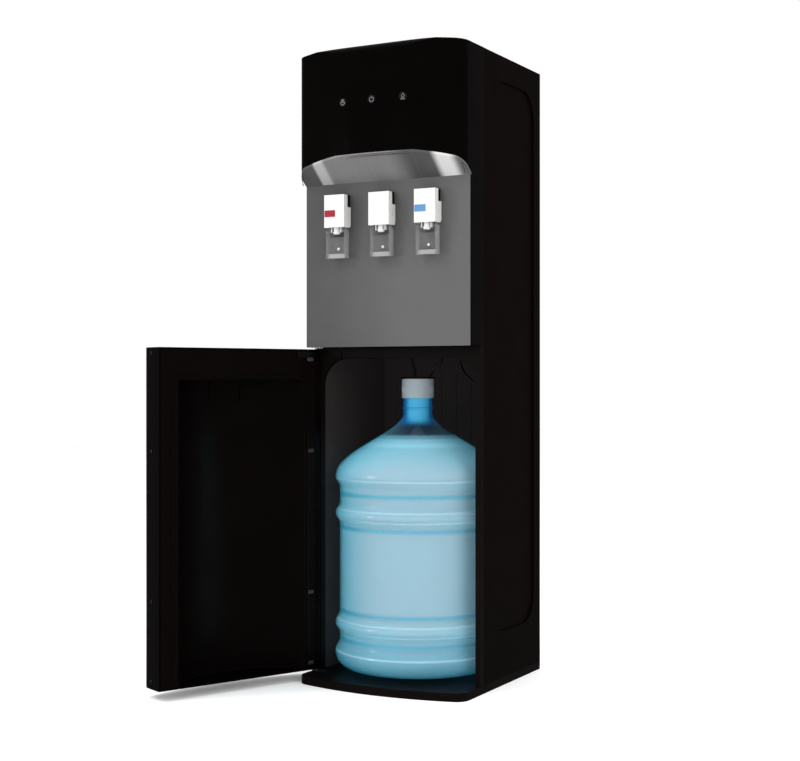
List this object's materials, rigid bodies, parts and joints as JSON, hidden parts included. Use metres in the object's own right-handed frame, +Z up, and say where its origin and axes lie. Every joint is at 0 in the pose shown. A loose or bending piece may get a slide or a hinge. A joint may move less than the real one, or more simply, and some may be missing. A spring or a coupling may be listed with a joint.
{
  "type": "bottom-load water dispenser",
  "caption": "Floor-standing bottom-load water dispenser with push taps for hot, room and cold water above a hinged door and bottle bay.",
  "frame": {"origin": "middle of the base's underside, on the floor", "axes": "+Z up, the front and its taps face -Y, the door's hinge side is -X"},
  "size_m": [0.4695, 0.5382, 1.058],
  "materials": {
    "black_gloss": "high-gloss black moulding",
    "black_satin": "satin black moulding",
    "panel_paint": "dark brown-black powder coat",
    "bay_plastic": "dark moulded lining",
    "brushed_grey": "brushed grey steel",
    "polished_steel": "polished steel",
    "zinc_steel": "zinc-plated sheet",
    "screw_steel": "bright plated",
    "white_plastic": "white moulding",
    "clear_plastic": "clear moulding",
    "red_badge": "red inlay",
    "blue_badge": "blue inlay",
    "lens_grey": "smoked lens",
    "board_green": "circuit board",
    "hose_clear": "silicone hose",
    "hose_dark": "dark hose",
    "foam": "insulating foam",
    "copper": "bare copper",
    "tank_steel": "plain steel",
    "pump_black": "black enamel",
    "red_rocker": "red rocker",
    "green_rocker": "green rocker",
    "bottle_clear": "blue-tinted clear shell",
    "water": "still water"
  },
  "bodies": {
    "cabinet": {"base_pan": "black_satin", "side_panel_left": "panel_paint", "side_panel_right": "panel_paint", "back_panel": "panel_paint", "back_screws": "screw_steel", "top_cover": "panel_paint", "front_fascia": "black_gloss", "hood_strip": "polished_steel", "tap_panel": "brushed_grey", "front_frame": "black_satin", "bay_liner": "bay_plastic", "bottle_stop": "bay_plastic", "bottle_seat": "bay_plastic", "equipment_shelf": "zinc_steel", "hinge_pins": "screw_steel", "magnet_catch": "black_satin", "indicator_lenses": "lens_grey", "control_board": "board_green", "tap_body_hot": "white_plastic", "tap_body_room": "white_plastic", "tap_body_cold": "white_plastic", "tap_spouts": "white_plastic", "tap_brackets": "black_satin", "tap_pins": "screw_steel", "hot_badge": "red_badge", "cold_badge": "blue_badge", "tap_hoses": "hose_clear", "cold_tank": "tank_steel", "cold_tank_jacket": "foam", "evaporator_coil": "copper", "hot_tank": "tank_steel", "heater_band": "zinc_steel", "tank_deck": "zinc_steel", "compressor": "pump_black", "compressor_grommets": "hose_dark", "water_pump": "black_satin", "filter_drier": "copper", "condenser": "panel_paint", "switch_bezel": "black_satin", "power_gland": "black_satin", "drain_tube": "white_plastic", "supply_hoses": "hose_dark", "hose_gland": "black_satin"},
    "paddle_hot": {"paddle_hot": "clear_plastic"},
    "paddle_room": {"paddle_room": "clear_plastic"},
    "paddle_cold": {"paddle_cold": "clear_plastic"},
    "door": {"door_skin": "black_gloss", "door_liner": "black_satin", "door_bushes": "white_plastic", "door_screws": "screw_steel", "door_clips": "black_satin", "door_strike": "screw_steel"},
    "bottle": {"bottle_shell": "bottle_clear", "bottle_water": "water", "bottle_cap": "white_plastic", "suction_tube": "hose_clear"},
    "heater_rocker": {"heater_switch": "red_rocker"},
    "cooler_rocker": {"cooler_switch": "green_rocker"},
    "drain_plug": {"drain_cap": "white_plastic"}
  },
  "joints": [
    {"name": "door_hinge", "type": "hinge", "parent": "cabinet", "child": "door", "pos_m": [-0.149, -0.093, 0.2895], "axis": [0, 0, -1], "range_deg": [-114, 5]},
    {"name": "paddle_hot_pivot", "type": "hinge", "parent": "cabinet", "child": "paddle_hot", "pos_m": [-0.0845, -0.129, 0.782], "axis": [1, 0, 0], "range_deg": [0, 6], "stiffness_Nm_per_rad": 0.6, "springref_deg": -8.59},
    {"name": "paddle_room_pivot", "type": "hinge", "parent": "cabinet", "child": "paddle_room", "pos_m": [0, -0.129, 0.782], "axis": [1, 0, 0], "range_deg": [0, 6], "stiffness_Nm_per_rad": 0.6, "springref_deg": -8.59},
    {"name": "paddle_cold_pivot", "type": "hinge", "parent": "cabinet", "child": "paddle_cold", "pos_m": [0.0845, -0.129, 0.782], "axis": [1, 0, 0], "range_deg": [0, 6], "stiffness_Nm_per_rad": 0.6, "springref_deg": -8.59},
    {"name": "bottle_slide", "type": "slide", "parent": "cabinet", "child": "bottle", "axis": [0, -1, 0], "range_m": [0, 0.34]},
    {"name": "heater_rocker_pivot", "type": "hinge", "parent": "cabinet", "child": "heater_rocker", "pos_m": [0.108, 0.1492, 0.917], "axis": [1, 0, 0], "range_deg": [-12, 0]},
    {"name": "cooler_rocker_pivot", "type": "hinge", "parent": "cabinet", "child": "cooler_rocker", "pos_m": [0.108, 0.1492, 0.893], "axis": [1, 0, 0], "range_deg": [-12, 0]},
    {"name": "drain_cap_pull", "type": "slide", "parent": "cabinet", "child": "drain_plug", "axis": [0, 1, 0], "range_m": [0, 0.03]}
  ]
}
